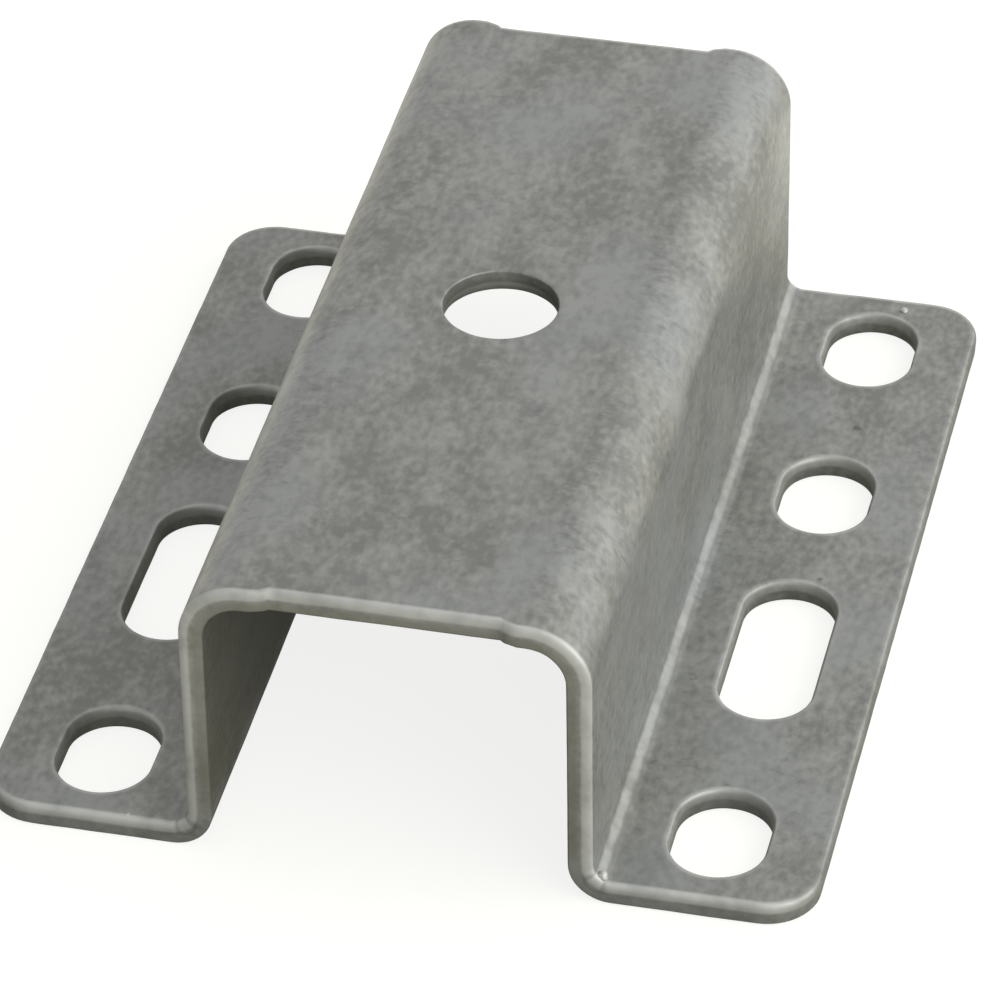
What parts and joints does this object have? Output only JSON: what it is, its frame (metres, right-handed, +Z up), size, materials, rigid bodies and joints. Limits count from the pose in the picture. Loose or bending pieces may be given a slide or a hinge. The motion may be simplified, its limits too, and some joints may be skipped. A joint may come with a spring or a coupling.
{
  "type": "u bracket",
  "caption": "Hat-shaped U bracket folded from thick sheet steel, with slotted side flanges, a raised channel and a bolt hole in its web.",
  "frame": {"origin": "under the middle of the bracket, on the plane of the flanges' undersides", "axes": "+X across the channel to the right flange, +Y along the channel to the end away from the long slots, +Z up from the flanges to the web"},
  "size_m": [0.0984, 0.12, 0.0384],
  "materials": {
    "galvanised_steel": "hot-dip galvanised, dull cloudy grey with brighter edges and small beads of zinc along the inner folds"
  },
  "bodies": {
    "root": {"bracket": "galvanised_steel"}
  },
  "joints": []
}
